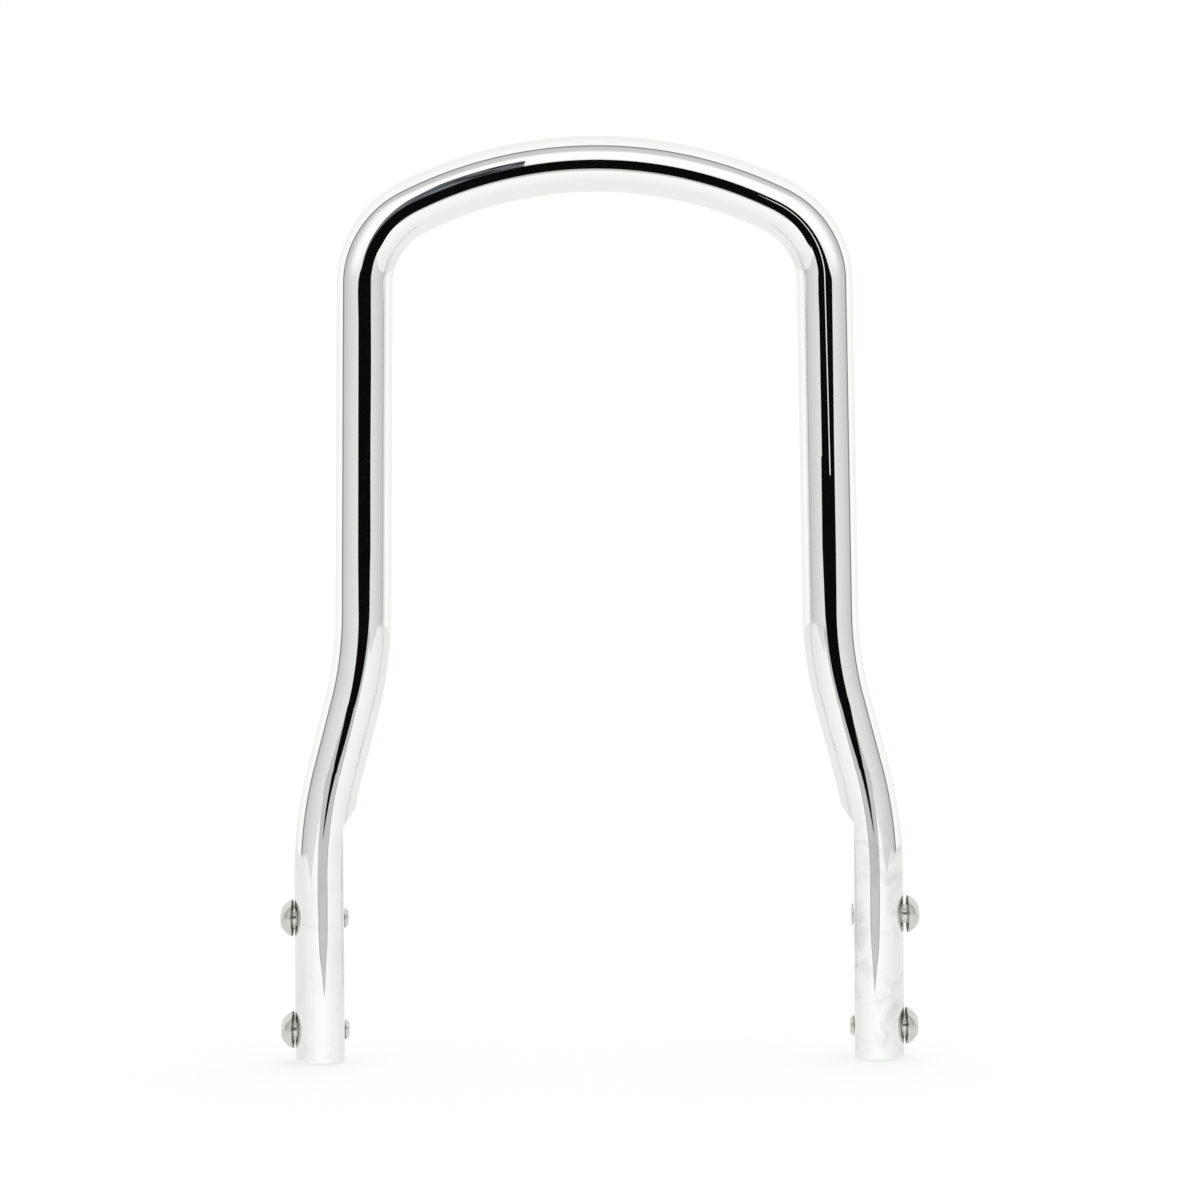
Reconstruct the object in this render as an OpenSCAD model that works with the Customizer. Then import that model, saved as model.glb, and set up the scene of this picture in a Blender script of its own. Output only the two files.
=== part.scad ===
// Sissy bar for a motorcycle: one round bar bent into a hoop, with a flat on
// the inner side of each foot and four button-head screws in its tapped holes.
// The hoop stands on its feet: X runs across it, Z up, and the origin lies on
// the ground midway between the feet.

/* [Bar] */
// Diameter of the round bar
bar_d = 25.4; // [22:0.1:30]

/* [Hoop outline] */
// Distance between the axes of the two feet
foot_spacing = 251.5; // [230:0.5:290]
// Straight length of each foot, from its end up to the first bend
foot_len = 84; // [72:1:100]
// Centreline radius of the bend above each foot
low_bend_r = 190; // [120:1:240]
// Inward slope of the bar between its two bends, in degrees from upright
splay_angle = 14.8; // [8:0.1:18]
// Straight length between the two bends
splay_len = 30; // [10:1:60]
// Centreline radius of the bend below each leg
high_bend_r = 167; // [100:1:220]
// Inward lean of the upper legs, in degrees from upright
leg_lean = 0.6; // [0:0.1:2]
// Straight length of each upper leg
leg_len = 151; // [60:1:260]
// Centreline radius of each shoulder
shoulder_r = 39; // [26:0.5:60]
// Angle above the horizontal, round the shoulder's centre, at which it passes into the crown
crown_angle = 63.5; // [58:0.5:70]

/* [Feet] */
// Depth of the flat on the inner side of each foot
flat_depth = 2.4; // [1:0.1:5]
// Height of the flat above the end of the foot, up to where it starts to run out
flat_len = 107; // [90:0.5:116]
// Slope of the run-out at the top of the flat, in degrees from upright
runout_angle = 32; // [25:1:60]
// Rounding of the edges at the end of each foot
end_round = 2; // [0.5:0.1:2.5]

/* [Screw holes] */
// Height of the lower hole above the end of the foot
lower_hole_z = 14.5; // [13:0.5:25]
// Distance between the lower and the upper hole
hole_pitch = 50.8; // [30:0.1:64]
// Radial clearance of a screw in its hole
hole_clearance = 0.05; // [0.02:0.01:0.2]
// Width of the chamfer where a hole opens in the flat
mouth_chamfer = 0.5; // [0.2:0.1:1]

/* [Screws] */
// Outer diameter of the screw thread
thread_d = 9.5; // [8:0.1:10]
// Length of a screw under its head
screw_len = 25.4; // [24:0.1:32]
// Diameter of the smooth neck under the head
neck_d = 8.4; // [7:0.1:9]
// Length of the smooth neck
neck_len = 2.6; // [1:0.1:4]
// Width of the small cone that joins the neck to the head
neck_flare = 0.4; // [0.1:0.1:1]
// Width of the chamfer on the end of the thread
tip_chamfer = 1.5; // [0.3:0.1:1.8]
// Diameter of the head
head_d = 16.7; // [14:0.1:20]
// Height of the head
head_h = 5; // [4:0.1:6]
// Height of the upright rim round the head
rim_h = 0.45; // [0.2:0.05:1]
// Diameter of the flat face round the socket
face_d = 8; // [7.5:0.1:10]
// Width of the hexagonal socket across its flats
socket_af = 5.55; // [4:0.05:6]
// Depth of the hexagonal socket
socket_depth = 3; // [2:0.1:3.5]
// Width of the chamfer round the mouth of the socket
socket_chamfer = 0.3; // [0.1:0.1:0.6]

/* [How far each screw head stands off the bar] */
// Upper left screw
standoff_upper_left = 1; // [0:0.1:2.5]
// Lower left screw
standoff_lower_left = 1; // [0:0.1:2.5]
// Upper right screw
standoff_upper_right = 1.8; // [0:0.1:2.5]
// Lower right screw
standoff_lower_right = 1; // [0:0.1:2.5]

/* [Hidden] */
$fn = 96;

bar_r = bar_d / 2;
foot_x = foot_spacing / 2;
flat_x = foot_x - bar_r + flat_depth;
hole_d = thread_d + 2 * hole_clearance;
upper_hole_z = lower_hole_z + hole_pitch;

// Length by which a cutting shape runs out past what it cuts
overcut = 1;
// Length by which the two halves of a straight piece lap past its middle
half_lap = 0.5;

// The points of the right-hand side are [across, up] in the plane of the hoop.
// A spoke is the unit vector at an angle from X, and a bar that leans inwards
// by that angle runs at right angles to it.
function spoke(angle) = [cos(angle), sin(angle)];
function uphill(angle) = [-sin(angle), cos(angle)];

low_bend_centre = [foot_x - low_bend_r, foot_len];
splay_start = low_bend_centre + low_bend_r * spoke(splay_angle);
splay_end = splay_start + splay_len * uphill(splay_angle);
high_bend_centre = splay_end + high_bend_r * spoke(splay_angle);
leg_start = high_bend_centre - high_bend_r * spoke(leg_lean);
leg_end = leg_start + leg_len * uphill(leg_lean);
shoulder_centre = leg_end - shoulder_r * spoke(leg_lean);

// The crown goes on from each shoulder without a kink, round a centre on the hoop's axis
crown_r = shoulder_r + shoulder_centre[0] / cos(crown_angle);
crown_centre = [0, shoulder_centre[1] - shoulder_centre[0] * tan(crown_angle)];

// The head is a slice of a ball that meets the rim below and the face above
dome_centre = (pow(face_d / 2, 2) - pow(head_d / 2, 2) + pow(head_h, 2) - pow(rim_h, 2))
    / (2 * (head_h - rim_h));
dome_r = norm([head_d / 2, rim_h - dome_centre]);

// The pieces of bar meet face to face, and one matrix holds only six digits. So
// a shift is made by the rounded vector and then by the small rest of it.
function six_digits(v) = v == 0 ? 0 :
    let (unit = pow(10, floor(ln(abs(v)) / ln(10)) - 5)) round(v / unit) * unit;

module shifted(v) {
    rounded = [for (part = v) six_digits(part)];
    translate(rounded)
        translate(v - rounded)
            children();
}

// A turn is made by an angle close by, whose rounded sine and cosine change the
// size least, and then by the small rest of the angle
function size_error(angle) = abs(norm([six_digits(cos(angle)), six_digits(sin(angle))]) - 1);

module turned(angle) {
    close_angles = [for (step = [-60:60]) angle + step * 0.0001];
    size_errors = [for (close_angle = close_angles) size_error(close_angle)];
    best = close_angles[search(min(size_errors), size_errors)[0]];
    rest = (angle - atan2(six_digits(sin(best)), six_digits(cos(best)))) * PI / 180;
    rotate([0, 0, best])
        multmatrix([[1, -rest, 0, 0], [rest, 1, 0, 0], [0, 0, 1, 0], [0, 0, 0, 1]])
            children();
}

// Puts what is drawn in X and Y into the plane of the hoop, at a point of it
module in_plane(point) {
    rotate([90, 0, 0])
        shifted([point[0], point[1], 0])
            children();
}

// Straight piece of bar, drawn from each end to just past its middle, so that
// both ends lie exactly on the bends they join
module straight(start, end, lean) {
    half_len = norm(end - start) / 2 + half_lap;
    in_plane(start)
        turned(lean)
            rotate([-90, 0, 0])
                cylinder(d = bar_d, h = half_len);
    in_plane(end)
        turned(lean)
            rotate([90, 0, 0])
                cylinder(d = bar_d, h = half_len);
}

// Bent piece of bar, from one angle to another round a centre in the plane
module bend(centre, radius, from, to) {
    in_plane(centre)
        rotate_extrude(angle = to - from, start = from)
            shifted([radius, 0])
                circle(d = bar_d);
}

// What is taken off a square corner at the origin to round it, with the body
// on the left of the corner and above it
module corner_waste(radius) {
    difference() {
        translate([-radius, -overcut])
            square(radius + overcut);
        translate([-radius, radius])
            circle(r = radius);
    }
}

// Straight foot, with the edge of its end rounded
module foot() {
    translate([foot_x, 0, 0])
        rotate_extrude()
            difference() {
                square([bar_r, foot_len]);
                translate([bar_r, 0])
                    corner_waste(end_round);
            }
}

module side() {
    foot();
    bend(low_bend_centre, low_bend_r, 0, splay_angle);
    straight(splay_start, splay_end, splay_angle);
    bend(high_bend_centre, high_bend_r, 180 + leg_lean, 180 + splay_angle);
    straight(leg_start, leg_end, leg_lean);
    bend(shoulder_centre, shoulder_r, leg_lean, crown_angle);
}

// What is milled off the inner side of the right foot: the flat, its sloping
// run-out and the rounding at its lower edge
module flat_waste() {
    runout_h = bar_d / tan(runout_angle);
    rotate([90, 0, 0])
        linear_extrude(height = 2 * bar_d, center = true) {
            polygon([
                [flat_x, -overcut],
                [flat_x, flat_len],
                [flat_x - bar_d, flat_len + runout_h],
                [flat_x - bar_d, -overcut]
            ]);
            translate([flat_x, 0])
                mirror([1, 0])
                    corner_waste(end_round);
        }
}

// Tapped hole through the right foot, at its thread's outer diameter, with a
// chamfered mouth in the flat
module hole_waste(height) {
    translate([flat_x, 0, height])
        rotate([0, 90, 0]) {
            translate([0, 0, -overcut])
                cylinder(d = hole_d, h = bar_d + 2 * overcut);
            translate([0, 0, -overcut])
                cylinder(
                    r1 = hole_d / 2 + mouth_chamfer + overcut,
                    r2 = hole_d / 2,
                    h = mouth_chamfer + overcut
                );
        }
}

// Turns what is drawn for the right foot round to the left one
module on_left() {
    rotate([0, 0, 180])
        children();
}

module foot_wastes() {
    flat_waste();
    hole_waste(lower_hole_z);
    hole_waste(upper_hole_z);
}

module hoop() {
    color([0.84, 0.86, 0.84])
        difference() {
            union() {
                side();
                on_left()
                    side();
                bend(crown_centre, crown_r, crown_angle, 180 - crown_angle);
            }
            foot_wastes();
            on_left()
                foot_wastes();
        }
}

// Neck and threaded shank of a screw, below its head
module shank() {
    neck_r = neck_d / 2;
    thread_r = thread_d / 2;
    rotate_extrude()
        polygon([
            [0, rim_h],
            [neck_r + neck_flare, rim_h],
            [neck_r + neck_flare, 0],
            [neck_r, -neck_flare],
            [neck_r, -neck_len],
            [thread_r, -neck_len - (thread_r - neck_r)],
            [thread_r, -screw_len + tip_chamfer],
            [thread_r - tip_chamfer, -screw_len],
            [0, -screw_len]
        ]);
}

// Hexagonal socket with a drilled point below it and a chamfered mouth
module socket_waste() {
    corner_r = socket_af / 2 / cos(30);
    point_h = socket_af / 2 * tan(30);
    translate([0, 0, head_h - socket_depth])
        cylinder(r = corner_r, h = socket_depth + overcut, $fn = 6);
    translate([0, 0, head_h - socket_depth - point_h])
        cylinder(r1 = 0, r2 = socket_af / 2, h = point_h);
    translate([0, 0, head_h - socket_chamfer])
        cylinder(
            r1 = corner_r - socket_chamfer,
            r2 = corner_r + overcut,
            h = socket_chamfer + overcut
        );
}

// Button-head screw with its head's underside at the origin and its head up
module screw() {
    color([0.70, 0.70, 0.67])
        difference() {
            union() {
                intersection() {
                    cylinder(d = head_d, h = head_h);
                    translate([0, 0, dome_centre])
                        sphere(r = dome_r);
                }
                shank();
            }
            socket_waste();
        }
}

// Puts a screw into the right foot from outside
module screw_at(height, standoff) {
    translate([foot_x + bar_r + standoff, 0, height])
        rotate([0, 90, 0])
            screw();
}

module screw_upper_left() {
    on_left()
        screw_at(upper_hole_z, standoff_upper_left);
}

module screw_lower_left() {
    on_left()
        screw_at(lower_hole_z, standoff_lower_left);
}

module screw_upper_right() {
    screw_at(upper_hole_z, standoff_upper_right);
}

module screw_lower_right() {
    screw_at(lower_hole_z, standoff_lower_right);
}

hoop();
screw_upper_left();
screw_lower_left();
screw_upper_right();
screw_lower_right();
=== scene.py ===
# %% [markdown]
# # A chromed sissy bar
# The real object is one round steel bar, bent into a hoop and chromed, with four
# button-head screws in its feet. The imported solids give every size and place, and
# this notebook dresses them: it sweeps the bar finely enough for a mirror finish,
# cuts true threads on the screws, and builds the studio that the chrome reflects.

# %% Load the frame
import math

import bpy
from mathutils import Matrix, Vector


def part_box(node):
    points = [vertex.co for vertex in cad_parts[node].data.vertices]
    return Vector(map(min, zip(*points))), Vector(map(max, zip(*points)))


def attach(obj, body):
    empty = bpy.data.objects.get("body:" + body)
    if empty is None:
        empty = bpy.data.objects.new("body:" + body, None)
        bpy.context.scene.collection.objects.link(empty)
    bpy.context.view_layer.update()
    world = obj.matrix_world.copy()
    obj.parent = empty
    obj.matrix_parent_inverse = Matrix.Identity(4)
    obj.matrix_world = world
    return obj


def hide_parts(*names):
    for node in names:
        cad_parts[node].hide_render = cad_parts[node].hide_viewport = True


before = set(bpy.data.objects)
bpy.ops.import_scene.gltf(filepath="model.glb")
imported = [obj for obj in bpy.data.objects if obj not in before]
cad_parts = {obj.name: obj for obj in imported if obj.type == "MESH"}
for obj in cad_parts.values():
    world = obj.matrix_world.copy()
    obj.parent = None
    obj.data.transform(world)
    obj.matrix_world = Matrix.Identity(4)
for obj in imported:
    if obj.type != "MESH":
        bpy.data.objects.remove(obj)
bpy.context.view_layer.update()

# %% [markdown]
# ## Sizes
# All sizes are the real ones, in metres. A bending machine is programmed with the
# straight lengths, radii and angles of the bar, so the same list describes it here.

# %% Sizes of the bar
MM = 0.001
# The radius and the leg are a hair under the real ones, to stay inside the solid's facets
BAR_R = 12.685 * MM
FOOT_X = 125.75 * MM
FOOT_LEN = 84 * MM
LOW_BEND_R = 190 * MM
SPLAY_LEN = 30 * MM
HIGH_BEND_R = 167 * MM
LEG_LEN = 150.9 * MM
SHOULDER_R = 39 * MM
SPLAY = math.radians(14.8)
LEAN = math.radians(0.6)
CROWN_ANGLE = math.radians(63.5)

FLAT_X = 115.45 * MM
FLAT_LEN = 107 * MM
RUNOUT = math.radians(32)
END_ROUND = 2 * MM
HOLE_R = 4.8 * MM
LOWER_HOLE_Z = 14.5 * MM
HOLE_PITCH = 50.8 * MM
MOUTH_CHAMFER = 0.5 * MM

# %% [markdown]
# ## The photograph's camera
# A long lens, level with the middle of the hoop. Fitting the bar's outline gave its
# distance, height and focal length, and a roll of less than half a degree.

# %% Camera
CAMERA_PLACE = Vector((1.44 * MM, -1.2, 209 * MM))
CAMERA_ROLL = math.radians(0.40)

camera_data = bpy.data.cameras.new("camera")
camera_data.lens = 79.1
camera_data.sensor_width = 36
camera = bpy.data.objects.new("camera", camera_data)
bpy.context.scene.collection.objects.link(camera)
looking_ahead = Matrix.Rotation(math.pi / 2, 4, "X") @ Matrix.Rotation(-CAMERA_ROLL, 4, "Z")
camera.matrix_world = Matrix.Translation(CAMERA_PLACE) @ looking_ahead
bpy.context.scene.camera = camera
print("camera at", tuple(round(v, 4) for v in CAMERA_PLACE), "lens", camera_data.lens)

# %% [markdown]
# ## Helpers for node trees
# A formula is easier to read than a drawing of thirty Math nodes. `Number` wraps a
# socket, so that `a + b` or `a * 2` adds the Math node that does it.


# %% Node helpers
def plug(tree, value, socket):
    """Feeds a socket from another socket, a Number or a plain value."""
    if isinstance(value, Number):
        value = value.socket
    if isinstance(value, bpy.types.NodeSocket):
        tree.links.new(value, socket)
    else:
        socket.default_value = value


def add_node(tree, kind, inputs=(), **settings):
    """Adds a node, sets its properties, and feeds its inputs by name or index."""
    node = tree.nodes.new(kind)
    for name, value in settings.items():
        setattr(node, name, value)
    for name, value in dict(inputs).items():
        plug(tree, value, node.inputs[name])
    return node


class Number:
    """One number that varies over a geometry or a surface."""

    def __init__(self, tree, socket):
        self.tree = tree
        self.socket = socket

    def math(self, operation, *others):
        node = self.tree.nodes.new("ShaderNodeMath")
        node.operation = operation
        for value, socket in zip((self, *others), node.inputs):
            plug(self.tree, value, socket)
        return Number(self.tree, node.outputs[0])

    def __add__(self, other):
        return self.math("ADD", other)

    def __sub__(self, other):
        return self.math("SUBTRACT", other)

    def __mul__(self, other):
        return self.math("MULTIPLY", other)

    def __truediv__(self, other):
        return self.math("DIVIDE", other)

    def __rsub__(self, other):
        return self.math("MULTIPLY", -1.0) + other

    def clamped(self, low, high):
        return self.math("MAXIMUM", low).math("MINIMUM", high)

    def ramped(self, start, end):
        """0 where this number is at the start, 1 where it is at the end."""
        return ((self - start) / (end - start)).clamped(0, 1)

    def mixed(self, other, share):
        """This number where share is 0, the other one where it is 1."""
        return self + (other - self) * share


def new_geometry_tree(name, inputs):
    """A Geometry Nodes tree with a geometry going in and out, and named inputs."""
    tree = bpy.data.node_groups.new(name, "GeometryNodeTree")
    tree.interface.new_socket("Geometry", in_out="INPUT", socket_type="NodeSocketGeometry")
    for label, kind in inputs:
        tree.interface.new_socket(label, in_out="INPUT", socket_type="NodeSocket" + kind)
    tree.interface.new_socket("Geometry", in_out="OUTPUT", socket_type="NodeSocketGeometry")
    given = tree.nodes.new("NodeGroupInput")
    numbers = {label: Number(tree, given.outputs[label]) for label, kind in inputs}
    return tree, given, numbers


def run_tree(name, tree, mesh, values):
    """Runs a tree on a mesh and returns the result as a plain mesh object."""
    source = bpy.data.objects.new(name + "_source", mesh)
    bpy.context.scene.collection.objects.link(source)
    modifier = source.modifiers.new("nodes", "NODES")
    modifier.node_group = tree
    identifiers = {item.name: item.identifier for item in tree.interface.items_tree
                   if item.in_out == "INPUT"}
    for label, value in values.items():
        modifier[identifiers[label]] = value
    evaluated = source.evaluated_get(bpy.context.evaluated_depsgraph_get())
    made_mesh = bpy.data.meshes.new_from_object(evaluated)
    made_mesh.name = name
    made = bpy.data.objects.new(name, made_mesh)
    bpy.context.scene.collection.objects.link(made)
    source.modifiers.remove(modifier)
    bpy.data.objects.remove(source)
    print(name, "has", len(made_mesh.polygons), "faces")
    return made

# %% [markdown]
# ## The bar's centre line
# A bending machine feeds a straight length, bends by an angle, and feeds again. The
# same steps, followed from the end of the right foot to the top of the crown, give a
# row of points. Each carries the lean of the bar there, which the sweep needs. The
# left half is the mirror image, as on the real hoop.

# %% Follow the bends
STRAIGHT_STEP = 4 * MM
BEND_STEP = 1.6 * MM
FINE_STEP = 0.5 * MM
FINEST_TURN = math.radians(1.25)
# The lean at which a cut square to the bar passes through the top edge of the flat
CREASE = math.atan2(FLAT_LEN - FOOT_LEN, FLAT_X - FOOT_X + LOW_BEND_R)

# Radius (None where straight), then length or turn, then the spacing of the points
RIGHT_HALF = [
    (None, FOOT_LEN - END_ROUND, STRAIGHT_STEP),
    (LOW_BEND_R, CREASE, BEND_STEP),
    (LOW_BEND_R, SPLAY - CREASE, FINE_STEP),
    (None, SPLAY_LEN, STRAIGHT_STEP),
    (HIGH_BEND_R, LEAN - SPLAY, BEND_STEP),
    (None, LEG_LEN, STRAIGHT_STEP),
    (SHOULDER_R, CROWN_ANGLE - LEAN, BEND_STEP),
]


def follow(x, z, lean, pieces):
    """Points (x, z, lean) along pieces of bar, without the starting point."""
    points = []
    for radius, amount, step in pieces:
        if radius is None:
            count = math.ceil(amount / step)
            for i in range(count):
                x -= math.sin(lean) * amount / count
                z += math.cos(lean) * amount / count
                points.append((x, z, lean))
        else:
            signed = math.copysign(radius, amount)
            centre = (x - signed * math.cos(lean), z - signed * math.sin(lean))
            count = math.ceil(abs(amount) / min(step / radius, FINEST_TURN))
            for i in range(count):
                lean += amount / count
                x = centre[0] + signed * math.cos(lean)
                z = centre[1] + signed * math.sin(lean)
                points.append((x, z, lean))
    return points


side = follow(FOOT_X, END_ROUND, 0.0, RIGHT_HALF)
crown_r = side[-1][0] / math.cos(CROWN_ANGLE)
side += follow(*side[-1], [(crown_r, math.pi / 2 - CROWN_ANGLE, BEND_STEP)])
print("top of the hoop at", round((side[-1][1] + BAR_R) / MM, 2), "mm,", len(side), "points a side")

# %% [markdown]
# ## Rows for the sweep
# Each point becomes one ring of the bar's skin. Three more numbers ride on it: how
# far the ring shrinks in the rounded end, whether it closes to a point, and how much
# its vertices gather at the edge of the flat.

# %% Rows with their numbers
ROUND_ROWS = 8
CUT_TOP = 120 * MM
CUT_FADE = 40 * MM


def gathered(z):
    return min(1.0, max(0.0, 1 - (z - CUT_TOP) / CUT_FADE))


rows = [(FOOT_X, 0.0, 0.0, END_ROUND, 0.0, 1.0)]
for i in range(ROUND_ROWS + 1):
    turn = math.pi / 2 * i / ROUND_ROWS
    rows.append((FOOT_X, END_ROUND * (1 - math.cos(turn)), 0.0, END_ROUND * (1 - math.sin(turn)), 1.0, 1.0))
rows += [(x, z, lean, 0.0, 1.0, gathered(z)) for x, z, lean in side]
rows += [(-x, z, math.pi - lean, *rest) for x, z, lean, *rest in reversed(rows[:-1])]

row_mesh = bpy.data.meshes.new("bar_rows")
row_mesh.from_pydata([(x, 0, z) for x, z, *rest in rows], [(i, i + 1) for i in range(len(rows) - 1)], [])
for column, label in enumerate(("lean", "shrink", "open", "gather"), start=2):
    numbers = row_mesh.attributes.new(label, "FLOAT", "POINT")
    numbers.data.foreach_set("value", [row[column] for row in rows])
print(len(rows), "rows")

# %% [markdown]
# ## The sweep
# Curve to Mesh would give every ring the same outline. This tree lays a flat grid
# over the rows instead and works out each vertex by a rule: a circle, cut short where
# it meets the flat or its run-out. A smooth minimum leaves the small rounded edge
# that polishing and plating give, and the vertices gather at that edge.

# %% Helpers for a sweep
MERGE = 1e-6
SHARP = math.radians(28)


class Sweep:
    """A grid laid over a line of rows: one ring of vertices for each point of the line."""

    def __init__(self, tree, line, steps):
        self.tree = tree
        self.line = line
        count = add_node(tree, "GeometryNodeAttributeDomainSize", {"Geometry": line}, component="MESH")
        columns = steps + 1
        grid = add_node(tree, "GeometryNodeMeshGrid",
                        {"Vertices X": count.outputs["Point Count"], "Vertices Y": columns})
        index = Number(tree, tree.nodes.new("GeometryNodeInputIndex").outputs[0])
        self.grid = grid.outputs["Mesh"]
        self.row = ((index + 0.5) / columns).math("FLOOR")
        self.turn = (index - self.row * columns) / steps

    def sample(self, kind, value):
        node = add_node(self.tree, "GeometryNodeSampleIndex", {"Geometry": self.line, "Index": self.row},
                        data_type=kind)
        plug(self.tree, value, next(s for s in node.inputs if s.name == "Value" and s.enabled))
        return next(s for s in node.outputs if s.enabled)

    def number(self, label):
        """A named number of the row that a vertex belongs to."""
        node = add_node(self.tree, "GeometryNodeInputNamedAttribute", {"Name": label}, data_type="FLOAT")
        value = next(s for s in node.outputs if s.name == "Attribute" and s.enabled)
        return Number(self.tree, self.sample("FLOAT", value))

    def place(self):
        """The X and Z of the row's point."""
        position = self.tree.nodes.new("GeometryNodeInputPosition").outputs[0]
        split = add_node(self.tree, "ShaderNodeSeparateXYZ", {0: self.sample("FLOAT_VECTOR", position)})
        return Number(self.tree, split.outputs["X"]), Number(self.tree, split.outputs["Z"])

    def closed_skin(self, x, y, z):
        """Moves the vertices into place and closes the seam and the ends."""
        where = add_node(self.tree, "ShaderNodeCombineXYZ", {"X": x, "Y": y, "Z": z})
        moved = add_node(self.tree, "GeometryNodeSetPosition",
                         {"Geometry": self.grid, "Position": where.outputs[0]})
        merged = add_node(self.tree, "GeometryNodeMergeByDistance",
                          {"Geometry": moved.outputs[0], "Distance": MERGE})
        return merged.outputs[0]


def finish_tree(tree, skin, material):
    """Smooth faces, sharp edges where the skin turns sharply, and the material."""
    smooth = add_node(tree, "GeometryNodeSetShadeSmooth", {"Geometry": skin, "Shade Smooth": True},
                      domain="FACE")
    angle = Number(tree, tree.nodes.new("GeometryNodeInputMeshEdgeAngle").outputs["Unsigned Angle"])
    creased = add_node(tree, "GeometryNodeSetShadeSmooth",
                       {"Geometry": smooth.outputs[0], "Selection": angle.math("GREATER_THAN", SHARP),
                        "Shade Smooth": False}, domain="EDGE")
    real = add_node(tree, "GeometryNodeRealizeInstances", {"Geometry": creased.outputs[0]})
    painted = add_node(tree, "GeometryNodeSetMaterial", {"Geometry": real.outputs[0], "Material": material})
    output = tree.nodes.new("NodeGroupOutput")
    tree.links.new(painted.outputs[0], output.inputs["Geometry"])


# %% Tree of the bar
# The cut's edge always lies at this share of the way round, and the vertices crowd to it
CORNER_SHARE = 0.25
GATHERING = 1.6
LEAST_CORNER = math.radians(3)
# Above this height nothing is cut, and these keep a division from running away
CUT_REACH = 200 * MM
LEAST_UPRIGHT = 0.1
LEAST_COSINE = 0.05

bar_tree, given, size = new_geometry_tree("bent_bar", [
    ("Bar Radius", "Float"), ("Flat Position", "Float"), ("Flat Length", "Float"),
    ("Run-out Slope", "Float"), ("Edge Rounding", "Float"), ("Steps Round", "Int"),
    ("Foot Position", "Float"), ("Hole Radius", "Float"), ("Lower Hole", "Float"),
    ("Hole Pitch", "Float"), ("Mouth Chamfer", "Float"), ("Material", "Material")])
sweep = Sweep(bar_tree, given.outputs["Geometry"], size["Steps Round"])
x, z = sweep.place()
shrink = sweep.number("shrink")
cos_lean = sweep.number("lean").math("COSINE")
sin_lean = sweep.number("lean").math("SINE")

# Distance from the bar's axis to the flat or to its run-out, whichever is further
upright = cos_lean.math("ABSOLUTE").math("MAXIMUM", LEAST_UPRIGHT)
depth = x.math("ABSOLUTE") - size["Flat Position"]
slope = size["Run-out Slope"].math("TANGENT")
to_runout = (depth + (z - size["Flat Length"]) * slope) / (upright + sin_lean * slope)
uncut = z.math("GREATER_THAN", CUT_REACH)
reach = (depth / upright).math("MAXIMUM", to_runout) - shrink + uncut
radius = size["Bar Radius"] - shrink

# Angle round the bar from its inner side, with the vertices gathered at the edge
across = sweep.turn * 2 - 1
share = across.math("ABSOLUTE")
corner = (reach / radius).clamped(-1, 1).math("ARCCOSINE").math("MAXIMUM", LEAST_CORNER)
inner_share = 1 - share.ramped(0, CORNER_SHARE)
outer_share = share.ramped(CORNER_SHARE, 1)
gathered_angle = (corner * (1 - inner_share.math("POWER", GATHERING))
                  + (math.pi - corner) * outer_share.math("POWER", GATHERING))
angle = (share * math.pi).mixed(gathered_angle, sweep.number("gather"))

# The outline: a circle of the bar's radius, or the straight cut where that is nearer
to_cut = reach / angle.math("COSINE").math("MAXIMUM", LEAST_COSINE)
out = radius.math("SMOOTH_MIN", to_cut, size["Edge Rounding"]) * sweep.number("open")
inward = out * angle.math("COSINE")
skin = sweep.closed_skin(x - cos_lean * inward, out * angle.math("SINE") * across.math("SIGN"),
                         z - sin_lean * inward)
print("the bar's tree has", len(bar_tree.nodes), "nodes so far")

# %% [markdown]
# ## The tapped holes
# The holes go right through each foot and open in the flat with a small chamfer. An
# exact Boolean inside the same tree cuts them, one drill and one countersink each.
# It leaves a few doubled corners along the cuts, which are merged again.

# %% Holes in the bar
HOLE_SIDES = 64
DRILL_LEN = 40 * MM


def turned_across(tree, mesh, x, z, facing):
    """Lays a drill along X at a height; it points away from the middle if facing is 1."""
    where = add_node(tree, "ShaderNodeCombineXYZ", {"X": x, "Z": z})
    return add_node(tree, "GeometryNodeTransform",
                    {"Geometry": mesh, "Translation": where.outputs[0],
                     "Rotation": (0, facing * math.pi / 2, 0)}).outputs[0]


drill = add_node(bar_tree, "GeometryNodeMeshCylinder",
                 {"Vertices": HOLE_SIDES, "Radius": size["Hole Radius"], "Depth": DRILL_LEN})
countersink = add_node(bar_tree, "GeometryNodeMeshCone",
                       {"Vertices": HOLE_SIDES,
                        "Radius Bottom": size["Hole Radius"] + size["Mouth Chamfer"] * 2,
                        "Radius Top": size["Hole Radius"] - size["Mouth Chamfer"],
                        "Depth": size["Mouth Chamfer"] * 3})
cutters = bar_tree.nodes.new("GeometryNodeJoinGeometry")
for facing in (1, -1):
    for height in (size["Lower Hole"], size["Lower Hole"] + size["Hole Pitch"]):
        mouth = (size["Flat Position"] + size["Mouth Chamfer"] * 0.5) * facing
        for tool, at_x in ((drill, size["Foot Position"] * facing), (countersink, mouth)):
            cutter = turned_across(bar_tree, tool.outputs["Mesh"], at_x, height, facing)
            bar_tree.links.new(cutter, cutters.inputs[0])
drilled = add_node(bar_tree, "GeometryNodeMeshBoolean",
                   {"Mesh 1": skin, "Mesh 2": cutters.outputs[0], "Self Intersection": True},
                   operation="DIFFERENCE", solver="EXACT")
tidied = add_node(bar_tree, "GeometryNodeMergeByDistance",
                  {"Geometry": drilled.outputs["Mesh"], "Distance": MERGE * 2})
finish_tree(bar_tree, tidied.outputs[0], size["Material"].socket)
print("the bar's tree has", len(bar_tree.nodes), "nodes with its holes")

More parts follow.
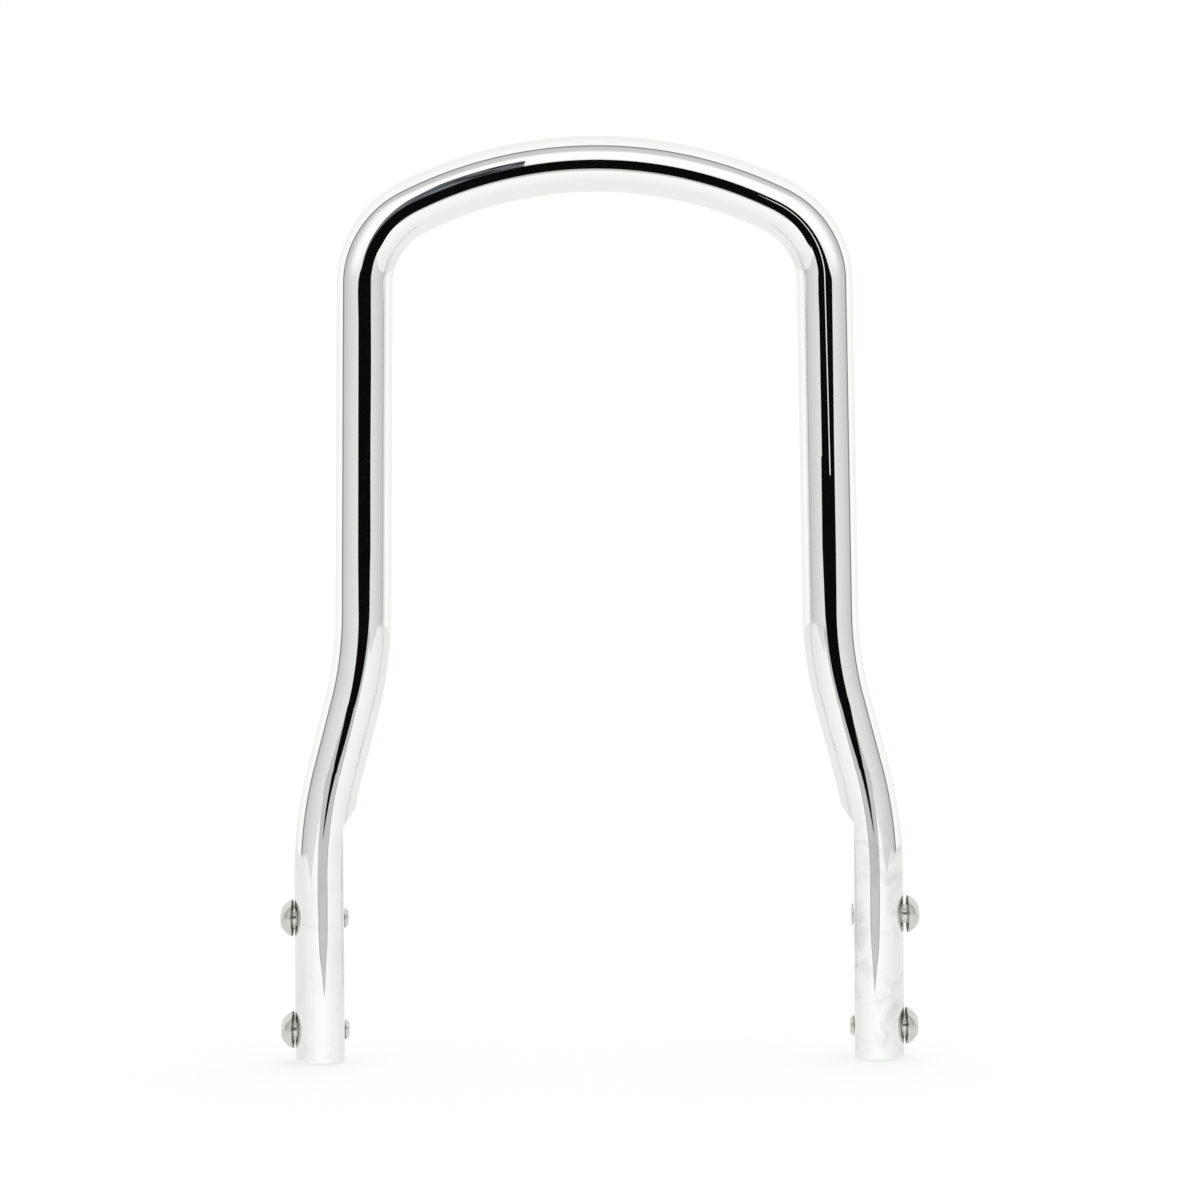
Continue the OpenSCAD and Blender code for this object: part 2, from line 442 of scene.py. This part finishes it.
# %% [markdown]
# ## Marks that both metals share
# Plated metal is never a perfect mirror. Handling leaves faint clouds where it is a
# little duller, wiping leaves fine scratches, and fitting leaves smudges on the feet.
# Pictures could paint all three, but noise needs no picture and fits any shape. One
# node group gives a roughness, a height and a mask of the smudges, and each metal
# feeds it its own amounts.


# %% Start of the group
def new_shader_group(name, inputs, outputs):
    group = bpy.data.node_groups.new(name, "ShaderNodeTree")
    for label, value in inputs:
        socket = group.interface.new_socket(label, in_out="INPUT", socket_type="NodeSocketFloat")
        socket.default_value = value
    for label in outputs:
        group.interface.new_socket(label, in_out="OUTPUT", socket_type="NodeSocketFloat")
    given = group.nodes.new("NodeGroupInput")
    output = group.nodes.new("NodeGroupOutput")
    return group, {label: Number(group, given.outputs[label]) for label, value in inputs}, output


marks, amount, marks_out = new_shader_group(
    "handling_marks",
    [("Smoothness", 0.03), ("Cloud Size", 40.0), ("Cloud Amount", 0.03),
     ("Scratch Size", 900.0), ("Scratch Amount", 0.1)],
    ["Roughness", "Height", "Smudge"])
where = marks.nodes.new("ShaderNodeTexCoord").outputs["Object"]


def patches(vector, start, contrast, **settings):
    """A mask of 0 to 1 that shows where a noise rises above a start value."""
    noise = add_node(marks, "ShaderNodeTexNoise", {"Vector": vector, **settings})
    return ((Number(marks, noise.outputs[0]) - start) * contrast).clamped(0, 1)


print("handling_marks takes", list(amount))

# %% Clouds and scratches
CLOUD_FROM = 0.52
CLOUD_CONTRAST = 4
# The noise of the scratches is turned, and drawn out twentyfold along one direction
SCRATCH_TURN = (0.4, 0.9, 0.2)
SCRATCH_STRETCH = (1.0, 1.0, 0.05)
SCRATCH_FROM = 0.6
SCRATCH_CONTRAST = 8
SCRATCH_DULLNESS = 0.1

cloudy = patches(where, CLOUD_FROM, CLOUD_CONTRAST, Scale=amount["Cloud Size"], Detail=5.0, Roughness=0.6)
stretched = add_node(marks, "ShaderNodeMapping",
                     {"Vector": where, "Rotation": SCRATCH_TURN, "Scale": SCRATCH_STRETCH})
scratch = patches(stretched.outputs[0], SCRATCH_FROM, SCRATCH_CONTRAST,
                  Scale=amount["Scratch Size"], Detail=2.0) * amount["Scratch Amount"]
plug(marks, amount["Smoothness"] + cloudy * amount["Cloud Amount"] + scratch * SCRATCH_DULLNESS,
     marks_out.inputs["Roughness"])
plug(marks, scratch, marks_out.inputs["Height"])
print("clouds start at", CLOUD_FROM, "and scratches at", SCRATCH_FROM)

# %% Smudges on the feet
SMEAR_SIZE = 75.0
SMEAR_FROM = 0.5
SMEAR_CONTRAST = 6
FEET_TOP = 120 * MM
FEET_FADE = 25 * MM
# The left foot is wiped cleaner: the strength rises across the hoop between two limits
LEFT_STRENGTH = 0.3
MIDDLE_STRENGTH = 0.6
RIGHT_STRENGTH = 1.0
STRENGTH_RISE = 4

place = add_node(marks, "ShaderNodeSeparateXYZ", {0: where})
across = Number(marks, place.outputs["X"])
height = Number(marks, place.outputs["Z"])
low_down = height.ramped(FEET_TOP, FEET_TOP - FEET_FADE)
strength = (across * STRENGTH_RISE + MIDDLE_STRENGTH).clamped(LEFT_STRENGTH, RIGHT_STRENGTH)
smear = patches(where, SMEAR_FROM, SMEAR_CONTRAST, Scale=SMEAR_SIZE, Detail=4.0, Distortion=0.6)
plug(marks, smear * low_down * strength, marks_out.inputs["Smudge"])
print("smudges fade out below", round(FEET_TOP / MM), "mm; nodes in the group:", len(marks.nodes))

# %% [markdown]
# ## The metals
# Chrome plating is a metal with almost no roughness and a cold, nearly white colour,
# and the screws are duller and a little warmer. Both are the Principled shader with
# Metallic at 1, where the Base Color is the share of the light that comes back. A
# smudge takes some of that light away, so it darkens the colour.

# %% How a metal is made
BUMP_STRENGTH = 0.3
# A Mix node has sockets for other kinds of values too, and its colours lie at these places
MIX_FIRST = 6
MIX_SECOND = 7
MIX_RESULT = 2


def new_material(name):
    material = bpy.data.materials.new(name)
    material.use_nodes = True
    material.node_tree.nodes.clear()
    return material, material.node_tree


def metal(name, color, smudged, marks_values, bump_distance):
    material, tree = new_material(name)
    group = add_node(tree, "ShaderNodeGroup", node_tree=marks)
    for label, value in marks_values.items():
        group.inputs[label].default_value = value
    bump = add_node(tree, "ShaderNodeBump", {"Strength": BUMP_STRENGTH, "Distance": bump_distance,
                                             "Height": group.outputs["Height"]})
    tint = add_node(tree, "ShaderNodeMix", {"Factor": group.outputs["Smudge"]}, data_type="RGBA")
    tint.inputs[MIX_FIRST].default_value = (*color, 1)
    tint.inputs[MIX_SECOND].default_value = (*smudged, 1)
    shader = add_node(tree, "ShaderNodeBsdfPrincipled",
                      {"Base Color": tint.outputs[MIX_RESULT], "Metallic": 1.0,
                       "Roughness": group.outputs["Roughness"], "Normal": bump.outputs[0]})
    add_node(tree, "ShaderNodeOutputMaterial", {"Surface": shader.outputs[0]})
    return material


# %% Chrome and screw metal
CHROME_COLOR = (0.91, 0.925, 0.905)
SMUDGED_CHROME = (0.76, 0.78, 0.76)
CHROME_BUMP = 0.004 * MM
SCREW_COLOR = (0.70, 0.70, 0.66)
SMUDGED_SCREW = (0.62, 0.62, 0.57)
SCREW_BUMP = 0.01 * MM

chrome = metal("chrome", CHROME_COLOR, SMUDGED_CHROME,
               {"Smoothness": 0.02, "Cloud Size": 30.0, "Cloud Amount": 0.03,
                "Scratch Size": 700.0, "Scratch Amount": 0.15}, CHROME_BUMP)
screw_metal = metal("screw_metal", SCREW_COLOR, SMUDGED_SCREW,
                    {"Smoothness": 0.26, "Cloud Size": 300.0, "Cloud Amount": 0.1,
                     "Scratch Size": 1500.0, "Scratch Amount": 0.5}, SCREW_BUMP)
print("materials", [m.name for m in (chrome, screw_metal)])

# %% [markdown]
# ## The hoop itself
# Rows, tree and metal are ready. The tree's named inputs get the real sizes, and the
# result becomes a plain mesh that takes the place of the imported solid. A ring of 128
# steps leaves facets too small to show in a mirror.

# %% Make the hoop
EDGE_ROUND = 0.3 * MM
BAR_STEPS = 128

hoop = run_tree("chromed_hoop", bar_tree, row_mesh, {
    "Bar Radius": BAR_R, "Flat Position": FLAT_X, "Flat Length": FLAT_LEN,
    "Run-out Slope": RUNOUT, "Edge Rounding": EDGE_ROUND, "Steps Round": BAR_STEPS,
    "Foot Position": FOOT_X, "Hole Radius": HOLE_R, "Lower Hole": LOWER_HOLE_Z,
    "Hole Pitch": HOLE_PITCH, "Mouth Chamfer": MOUTH_CHAMFER, "Material": chrome})
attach(hoop, "root")
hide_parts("hoop")

# %% [markdown]
# ## The screws
# A button-head screw is a turned profile with two things that aren't round: the
# thread, whose rows climb by one pitch in a turn, and the hexagonal socket. The same
# sweep makes it, from rows that run from the tip up and down into the socket.

# %% Sizes of a screw
INCH = 25.4 * MM
THREAD_R = 4.75 * MM
PITCH = INCH / 16
# The depth of a standard thread, as a share of its pitch
DEPTH_SHARE = 0.613
THREAD_DEPTH = DEPTH_SHARE * PITCH
SCREW_LEN = 25.4 * MM
NECK_R = 4.2 * MM
NECK_LEN = 2.6 * MM
NECK_FLARE = 0.4 * MM
TIP_CHAMFER = 1.5 * MM
HEAD_R = 8.35 * MM
HEAD_H = 5 * MM
RIM_H = 0.45 * MM
RIM_ROUND = 0.12 * MM
FACE_R = 4 * MM
SOCKET_R = 2.775 * MM
SOCKET_DEPTH = 3 * MM
HALF_SIDE = math.radians(30)
SOCKET_CORNER_R = SOCKET_R / math.cos(HALF_SIDE)
SOCKET_POINT = SOCKET_R * math.tan(HALF_SIDE)
print("thread pitch", round(PITCH / MM, 4), "mm, depth", round(THREAD_DEPTH / MM, 3), "mm")

# %% Rows of a screw
# Half a pitch from the root's middle, these shares lie where the root ends and the crest begins
ROOT_SHARE = 0.25
CREST_SHARE = 0.875
FLANK_ROWS = 3
DOME_ROWS = 16
# The middle of the rounded edge of the rim, as a share of its radius
ROUND_MIDDLE = 0.3

# Heights within one pitch at which the thread's outline bends or is divided
flank = [ROOT_SHARE + (CREST_SHARE - ROOT_SHARE) * i / FLANK_ROWS for i in range(FLANK_ROWS + 1)]
thread_rows = sorted([0.5] + [0.5 + way * share / 2 for share in flank for way in (-1, 1)])
dome_centre = (FACE_R**2 - HEAD_R**2 + HEAD_H**2 - RIM_H**2) / (2 * (HEAD_H - RIM_H))
dome_r = math.hypot(HEAD_R, RIM_H - dome_centre)


def dome_rows():
    start = math.atan2(RIM_H - dome_centre, HEAD_R)
    end = math.atan2(HEAD_H - dome_centre, FACE_R)
    for i in range(DOME_ROWS + 1):
        turn = start + (end - start) * i / DOME_ROWS
        yield dome_r * math.cos(turn), dome_centre + dome_r * math.sin(turn)


# Radius, height, then whether the row is a thread's, a hexagon's, a chamfer's
screw_rows = [(0, -SCREW_LEN, 0, 0, 0), (THREAD_R - TIP_CHAMFER, -SCREW_LEN, 0, 0, 0)]
for lap in range(math.ceil((SCREW_LEN - NECK_LEN) / PITCH) + 1):
    for part in thread_rows:
        screw_rows.append((THREAD_R, -SCREW_LEN + (lap - 1 + part) * PITCH, 1, 0, 0))
screw_rows = [row for row in screw_rows if row[1] < -NECK_LEN]
rim_middle = ROUND_MIDDLE * RIM_ROUND
screw_rows += [
    (NECK_R, -NECK_LEN, 0, 0, 0), (NECK_R, -NECK_FLARE, 0, 0, 0), (NECK_R + NECK_FLARE, 0, 0, 0, 0),
    (HEAD_R - RIM_ROUND, 0, 0, 0, 0), (HEAD_R - rim_middle, rim_middle, 0, 0, 0),
    (HEAD_R, RIM_ROUND, 0, 0, 0)]
screw_rows += [(r, h, 0, 0, 0) for r, h in dome_rows()]
socket_floor = HEAD_H - SOCKET_DEPTH
screw_rows += [
    (SOCKET_CORNER_R, HEAD_H, 0, 0, 0), (SOCKET_R, HEAD_H, 0, 1, 1),
    (SOCKET_R, socket_floor, 0, 1, 0), (SOCKET_R, socket_floor, 0, 0, 0),
    (0, socket_floor - SOCKET_POINT, 0, 0, 0)]

screw_line = bpy.data.meshes.new("screw_rows")
screw_line.from_pydata([(r, 0, h) for r, h, *rest in screw_rows],
                       [(i, i + 1) for i in range(len(screw_rows) - 1)], [])
for column, label in enumerate(("thread", "hexagon", "chamfer"), start=2):
    numbers = screw_line.attributes.new(label, "FLOAT", "POINT")
    numbers.data.foreach_set("value", [float(row[column]) for row in screw_rows])
print(len(screw_rows), "rows in a screw")

# %% [markdown]
# ## The screw's tree
# A Screw modifier could wind the thread, but the neck, the head and the socket would
# have to be joined to it. Here one grid carries them all. A thread row climbs as it
# goes round, so that its end meets the start of the row one pitch above it.

# %% Tree of a screw
RUN_OUT_LEN = 1.2 * MM

screw_tree, given, size = new_geometry_tree("button_head_screw", [
    ("Thread Pitch", "Float"), ("Thread Depth", "Float"), ("Thread Radius", "Float"),
    ("Tip Radius", "Float"), ("Length", "Float"), ("Neck Radius", "Float"), ("Neck Length", "Float"),
    ("Steps Round", "Int"), ("Turn", "Float"), ("Facing", "Float"), ("Head Position", "Vector"),
    ("Material", "Material")])
sweep = Sweep(screw_tree, given.outputs["Geometry"], size["Steps Round"])
row_r, row_h = sweep.place()
angle = sweep.turn * (2 * math.pi)

# The thread: its rows climb by one pitch in a turn, between the tip and the neck
threaded = sweep.number("thread")
climbed = row_h + sweep.turn * size["Thread Pitch"]
neck_h = 0 - size["Neck Length"]
thread_h = climbed.math("MAXIMUM", 0 - size["Length"]).math("MINIMUM", neck_h)
phase = ((row_h + size["Length"]) / size["Thread Pitch"]).math("FRACT")
from_root = (phase * 2 - 1).math("ABSOLUTE")
groove = from_root.ramped(CREST_SHARE, ROOT_SHARE)
fading = ((neck_h - thread_h) / RUN_OUT_LEN).clamped(0, 1)
cut_r = size["Thread Radius"] - size["Thread Depth"] * groove * fading
tip_r = size["Tip Radius"] + thread_h + size["Length"]
neck_r = size["Neck Radius"] + neck_h - thread_h
thread_r = cut_r.math("MINIMUM", tip_r).math("MINIMUM", neck_r)

# The socket: the distance to a hexagon's side, and the cone that chamfers its mouth
sixth = 2 * HALF_SIDE
to_side = ((angle / sixth).math("FRACT") * sixth - HALF_SIDE).math("COSINE")
hexagon_r = row_r / to_side
cone_h = row_h - (SOCKET_CORNER_R - hexagon_r) * sweep.number("chamfer")

r = row_r.mixed(thread_r, threaded).mixed(hexagon_r, sweep.number("hexagon"))
h = cone_h.mixed(thread_h, threaded)
skin = sweep.closed_skin(r * angle.math("COSINE"), r * angle.math("SINE"), h)
# These rows run upwards round their axis, so the grid's faces look inwards and are flipped
outward = add_node(screw_tree, "GeometryNodeFlipFaces", {"Mesh": skin}).outputs[0]

# Turns the screw about its axis, and then lays it across the foot
spin = add_node(screw_tree, "ShaderNodeCombineXYZ", {"Z": size["Turn"]})
spun = add_node(screw_tree, "GeometryNodeTransform", {"Geometry": outward, "Rotation": spin.outputs[0]})
across_foot = add_node(screw_tree, "ShaderNodeCombineXYZ", {"Y": size["Facing"] * (math.pi / 2)})
laid = add_node(screw_tree, "GeometryNodeTransform",
                {"Geometry": spun.outputs[0], "Rotation": across_foot.outputs[0],
                 "Translation": size["Head Position"].socket})
finish_tree(screw_tree, laid.outputs[0], size["Material"].socket)
print("the screw's tree has", len(screw_tree.nodes), "nodes")

# %% [markdown]
# ## Four screws in their holes
# The real screws are alike, but each is driven in by its own amount and stops at its
# own angle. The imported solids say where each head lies. The angles can't be seen in
# the photograph, so they only have to differ.

# %% Make the four screws
SCREW_STEPS = 120
TURNS = {"screw_upper_left": 12, "screw_lower_left": 41, "screw_upper_right": 27, "screw_lower_right": 4}
for node, turn in TURNS.items():
    # The head's face is the outer end of the solid
    low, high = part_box(node)
    facing = -1 if node.endswith("left") else 1
    face_x = low.x if facing < 0 else high.x
    screw = run_tree(node + "_threaded", screw_tree, screw_line, {
        "Thread Pitch": PITCH, "Thread Depth": THREAD_DEPTH, "Thread Radius": THREAD_R,
        "Tip Radius": THREAD_R - TIP_CHAMFER, "Length": SCREW_LEN, "Neck Radius": NECK_R,
        "Neck Length": NECK_LEN, "Steps Round": SCREW_STEPS, "Turn": math.radians(turn),
        "Facing": float(facing), "Head Position": (face_x - facing * HEAD_H, 0, (low.z + high.z) / 2),
        "Material": screw_metal})
    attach(screw, "root")
    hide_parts(node)

# %% [markdown]
# ## The studio
# Chrome shows nothing but its surroundings. The photograph was taken from a dark
# opening in a white tent, so the front of every leg carries a black band. A picture of
# a studio could light the chrome, but plain shapes can be moved until each band fits.
# Cards that only reflections see stand for what is near, and the world for the tent.

# %% Tones and cards
# The share of light that the chrome gives back, so that a card shows the grey it is given
REFLECTANCE = 0.915


def tone(level):
    """The linear strength of a grey that is written as 0 to 255."""
    share = level / 255
    return share / 12.92 if share <= 0.04045 else ((share + 0.055) / 1.055) ** 2.4


def card(name, corners, level, tint=(1, 1, 1), faces=None):
    """A card that chrome shows as a grey of 0 to 255. Without faces it has a single one."""
    mesh = bpy.data.meshes.new(name)
    mesh.from_pydata(corners, [], faces or [tuple(range(len(corners)))])
    material, tree = new_material(name)
    glow = add_node(tree, "ShaderNodeEmission",
                    {"Color": (*tint, 1), "Strength": tone(level) / REFLECTANCE})
    add_node(tree, "ShaderNodeOutputMaterial", {"Surface": glow.outputs[0]})
    mesh.materials.append(material)
    made = bpy.data.objects.new(name, mesh)
    bpy.context.scene.collection.objects.link(made)
    made.visible_camera = False
    made.visible_diffuse = False
    made.visible_shadow = False
    made.visible_transmission = False
    made.visible_volume_scatter = False
    return made


def mirrored(half):
    """A whole outline from its right half, without doubling a corner on the middle."""
    return half + [(-x, other) for x, other in reversed(half) if x > 0]


def standing(outline, y):
    """Stands an outline of (across, up) at a distance in front of the hoop."""
    return [(x, y, z) for x, z in outline]


# %% [markdown]
# ## In front of the hoop
# A round bar squeezes the whole studio into its width, so 80 mm there cover only one
# pixel across a leg, and a card needs few corners. The opening is narrow at the table
# and wide above, which makes the black band broad on the legs and pointed on the feet.

# %% The dark opening
BLACK = 10
OPENING_Y = -1.02
# The corners (across, up) in metres: up the right side, over the top, down the left side
OPENING = [(0.12, 0.0), (0.34, 0.12), (0.49, 0.195), (0.53, 0.25), (0.53, 0.35), (0.60, 0.49),
           (0.0, 0.565), (-0.17, 0.51), (-0.40, 0.51),
           (-0.53, 0.48), (-0.47, 0.45), (-0.44, 0.25), (-0.26, 0.09), (-0.12, 0.0)]
card("camera_opening", standing(OPENING, OPENING_Y), BLACK)

# A dark edge nearer to the hoop, which only the crown's underside looks down to
EDGE_Y = -0.5
EDGE = mirrored([(0.0, 0.145), (0.06, 0.14), (0.10, 0.17), (0.22, 0.24), (0.20, 0.30)])
card("opening_edge", standing(EDGE, EDGE_Y), BLACK)
print("the opening has", len(OPENING), "corners and its near edge", len(EDGE))

# %% Grey front of the tent, and a painted reflection of the opening on the table
FRONT_Y = -1.03
FRONT_FOOT = -0.037
FRONT_LEVEL = 192
FRONT = mirrored([(0.38, FRONT_FOOT), (0.38, 0.0), (0.50, 0.09), (0.60, 0.12), (0.60, 0.15)])
card("tent_front", standing(FRONT, FRONT_Y), FRONT_LEVEL)

# Painted reflection: this grey strip, paler in its middle, stands for the dark opening's reflection in the
# glossy table. The feet show it as a pointed grey band.
# The strip comes to a point towards the hoop, where it also lies lower. Its corners are
# (across, forward) in metres, and its paler middle lies on it as a narrower copy.
STRIP_SLOPE = 0.08
STRIP_LEVEL = 176
MIDDLE_LEVEL = 197
MIDDLE_SHARE = 0.75
MIDDLE_LIFT = 1 * MM
STRIP = mirrored([(0.0, -0.655), (0.13, -0.75), (0.24, -0.80), (0.30, -0.87), (0.38, FRONT_Y)])
strip_points = [(x, y, FRONT_FOOT + STRIP_SLOPE * (FRONT_Y - y)) for x, y in STRIP]
card("painted_table_reflection", strip_points, STRIP_LEVEL)
card("front_strip_middle", [(x * MIDDLE_SHARE, y, z + MIDDLE_LIFT) for x, y, z in strip_points],
     MIDDLE_LEVEL)
print("grey levels", FRONT_LEVEL, STRIP_LEVEL, MIDDLE_LEVEL)

# %% Strap and cloth
# A thin bright strap across the opening draws a line down the right leg
STRAP_Y = -0.3
STRAP_TOP = (0.082, 0.392)
STRAP_END = (0.124, 0.278)
STRAP_HALF = 10 * MM
STRAP_LEVEL = 232
STRAP = [(STRAP_TOP[0] - STRAP_HALF, STRAP_TOP[1]), (STRAP_TOP[0] + STRAP_HALF, STRAP_TOP[1]),
         (STRAP_END[0] + STRAP_HALF, STRAP_END[1]), (STRAP_END[0] - STRAP_HALF, STRAP_END[1])]
card("strap", standing(STRAP, STRAP_Y), STRAP_LEVEL)

# A bluish cloth hangs above the opening on the left, where the crown's left half shows it
CLOTH_Y = OPENING_Y - 5 * MM
CLOTH = [(-0.045, 0.48), (-0.125, 0.98), (-0.30, 0.98), (-0.30, 0.48)]
CLOTH_LEVEL = 105
CLOTH_TINT = (0.93, 1.0, 1.12)
# Its creases: a noise that is finer across than upwards, with its darks and lights cut off
CREASE_SCALE = (22.0, 1.0, 11.0)
CREASE_FROM = 0.4
CREASE_CONTRAST = 7
CREASE_DARKEST = 0.12
CREASE_LIGHTEST = 2.4

cloth = card("cloth", standing(CLOTH, CLOTH_Y), CLOTH_LEVEL, CLOTH_TINT)
tree = cloth.data.materials[0].node_tree
creases = add_node(tree, "ShaderNodeMapping",
                   {"Vector": tree.nodes.new("ShaderNodeTexCoord").outputs["Object"],
                    "Scale": CREASE_SCALE})
folds = add_node(tree, "ShaderNodeTexNoise", {"Vector": creases.outputs[0], "Scale": 1.0, "Detail": 4.0})
fold_light = ((Number(tree, folds.outputs[0]) - CREASE_FROM) * CREASE_CONTRAST).clamped(
    CREASE_DARKEST, CREASE_LIGHTEST) * tone(CLOTH_LEVEL)
glow = next(node for node in tree.nodes if node.type == "EMISSION")
plug(tree, fold_light / REFLECTANCE, glow.inputs["Strength"])
print("strap and cloth hang at", STRAP_Y, "and", round(CLOTH_Y, 3))

# %% [markdown]
# ## Behind the hoop
# Without something dark behind it, the back of a chromed bar looks like white plastic.
# A dark strip follows the bar there. Its points are spread from the camera's place, so
# that it lies in the bar's own shadow and the front shows nothing of it.

# %% Dark strip behind the bar
SHADE_Y = 34 * MM
SHADE_HALF = 8.5 * MM
SHADE_LEVEL = 25

spread = (SHADE_Y - CAMERA_PLACE.y) / -CAMERA_PLACE.y
shade_points = []
for x, z, lean, *rest in rows:
    for reach in (-SHADE_HALF, SHADE_HALF):
        aside = x + reach * math.cos(lean) - CAMERA_PLACE.x
        above = z + reach * math.sin(lean) - CAMERA_PLACE.z
        shade_points.append((CAMERA_PLACE.x + aside * spread, SHADE_Y, CAMERA_PLACE.z + above * spread))
shade_faces = [(i, i + 1, i + 3, i + 2) for i in range(0, len(shade_points) - 2, 2)]
card("rear_shade", shade_points, SHADE_LEVEL, faces=shade_faces)
print("the strip behind the bar has", len(shade_faces), "faces")

# %% [markdown]
# ## The tent and the table
# What lies far off is looked up by direction alone, so the world can hold it without a
# mesh. The tent's grey depends on how far forward a reflection looks, and so does the
# table's, below a line that dips at the front. The camera itself sees plain white.

# %% Greys of the tent and the table
# Places run from -1, straight back, to 1, straight forward, and greys from 0 to 255
TENT = [(-0.88, 238), (-0.40, 248), (-0.14, 250), (-0.09, 165), (-0.05, 110), (0.0, 130), (0.03, 190),
        (0.2, 200), (1.0, 227)]
TABLE = [(-1.0, 253), (-0.93, 231), (0.15, 231), (0.8, 243), (1.0, 252)]


def levels_along(tree, place, levels):
    """The tone at a place between -1 and 1, from a list of places and greys."""
    ramp = add_node(tree, "ShaderNodeValToRGB", {0: place * 0.5 + 0.5})
    while len(ramp.color_ramp.elements) < len(levels):
        ramp.color_ramp.elements.new(0.5)
    for element, (at, level) in zip(ramp.color_ramp.elements, levels):
        element.position = at * 0.5 + 0.5
        element.color = (tone(level), tone(level), tone(level), 1)
    return Number(tree, ramp.outputs[0])


# %% What reflections see
# Upward directions read the tent's greys from further back
ROOF_BACKWARD = 0.41
# A lit part of the roof in front: it comes in and goes out between these slopes
ROOF_LEVEL = 254
ROOF_IN = (0.12, 0.263)
ROOF_OUT = (0.74, 0.6775)
ROOF_FORWARD = (0.35, 0.75)
# The table is a little brighter close to the hoop, where reflections look steeply down
NEAR_TABLE = (0.2, 0.4)
NEAR_GAIN = 0.05
# The line where the table meets the tent lies this far down, and dips to a point in between
TABLE_FROM = 0.042
TABLE_FADE = 0.012
DIP = 0.058
DIP_AT = 0.75
DIP_BEFORE = 0.33
DIP_AFTER = 0.17

world = bpy.data.worlds.new("studio")
bpy.context.scene.world = world
world.use_nodes = True
tree = world.node_tree
tree.nodes.clear()
direction = add_node(tree, "ShaderNodeSeparateXYZ",
                     {0: tree.nodes.new("ShaderNodeTexCoord").outputs["Generated"]})
forward = Number(tree, direction.outputs["Y"]) * -1
down = Number(tree, direction.outputs["Z"]) * -1
up = (down * -1).clamped(0, 1)

walls = levels_along(tree, forward - up * up * ROOF_BACKWARD, TENT)
roof_light = up.ramped(*ROOF_IN) * up.ramped(*ROOF_OUT) * forward.ramped(*ROOF_FORWARD)
tent = walls.mixed(tone(ROOF_LEVEL), roof_light)
table = levels_along(tree, forward, TABLE) * (down.ramped(*NEAR_TABLE) * NEAR_GAIN + 1)
before = forward.ramped(DIP_AT - DIP_BEFORE, DIP_AT)
after = forward.ramped(DIP_AT + DIP_AFTER, DIP_AT)
dip = before.math("MINIMUM", after) * DIP
on_table = (down - dip).ramped(TABLE_FROM, TABLE_FROM + TABLE_FADE)
around = tent.mixed(table, on_table) / REFLECTANCE
print("the table's line lies at", TABLE_FROM, "and dips to", TABLE_FROM + DIP)

# %% Which rays see what
TENT_TINT = (1.0, 1.006, 0.99)
PLAIN_LIGHT = 0.8

light_path = tree.nodes.new("ShaderNodeLightPath")
plain = add_node(tree, "ShaderNodeBackground", {"Color": (1, 1, 1, 1), "Strength": PLAIN_LIGHT})
white = add_node(tree, "ShaderNodeBackground", {"Color": (1, 1, 1, 1), "Strength": 1.0})
seen = add_node(tree, "ShaderNodeBackground", {"Color": (*TENT_TINT, 1), "Strength": around})
in_glossy = add_node(tree, "ShaderNodeMixShader", {0: light_path.outputs["Is Glossy Ray"],
                                                   1: plain.outputs[0], 2: seen.outputs[0]})
in_camera = add_node(tree, "ShaderNodeMixShader", {0: light_path.outputs["Is Camera Ray"],
                                                   1: in_glossy.outputs[0], 2: white.outputs[0]})
add_node(tree, "ShaderNodeOutputWorld", {"Surface": in_camera.outputs[0]})
print("the world has", len(tree.nodes), "nodes")

# %% [markdown]
# ## Floor and daylight
# The floor is white paper. To the camera most of it glows evenly, so that it meets the
# white backdrop without an edge, and the rest is paint that keeps the hoop's shadow.
# Reflections skip it, because the world already holds the table.

# %% Floor
FLOOR_SIZE = 20.0
FLOOR_COLOR = (0.95, 0.95, 0.95)
GLOW_SHARE = 0.65

material, tree = new_material("floor")
paint = add_node(tree, "ShaderNodeBsdfDiffuse", {"Color": (*FLOOR_COLOR, 1)})
glow = add_node(tree, "ShaderNodeEmission", {"Color": (1, 1, 1, 1), "Strength": 1.0})
share = Number(tree, tree.nodes.new("ShaderNodeLightPath").outputs["Is Camera Ray"]) * GLOW_SHARE
mixed = add_node(tree, "ShaderNodeMixShader", {0: share, 1: paint.outputs[0], 2: glow.outputs[0]})
add_node(tree, "ShaderNodeOutputMaterial", {"Surface": mixed.outputs[0]})
floor_mesh = bpy.data.meshes.new("floor")
half = FLOOR_SIZE / 2
floor_mesh.from_pydata([(-half, -half, 0), (half, -half, 0), (half, half, 0), (-half, half, 0)],
                       [], [(0, 1, 2, 3)])
floor_mesh.materials.append(material)
floor = bpy.data.objects.new("floor", floor_mesh)
bpy.context.scene.collection.objects.link(floor)
floor.visible_glossy = False
print("floor", FLOOR_SIZE, "m wide")

# %% Daylight through the tent's roof
# A lamp as wide as the sky has no edge and no falloff
SUN_STRENGTH = 0.9
SUN_WIDTH = math.radians(70)
SUN_TURN = (math.radians(-12), math.radians(10), 0)

lamp_data = bpy.data.lights.new("tent_roof", "SUN")
lamp_data.energy = SUN_STRENGTH
lamp_data.angle = SUN_WIDTH
lamp = bpy.data.objects.new("tent_roof", lamp_data)
lamp.rotation_euler = SUN_TURN
lamp.visible_glossy = False
bpy.context.scene.collection.objects.link(lamp)
print("lamp", lamp.name, "strength", SUN_STRENGTH)

# %% Finish
bpy.context.scene.view_settings.view_transform = "Standard"
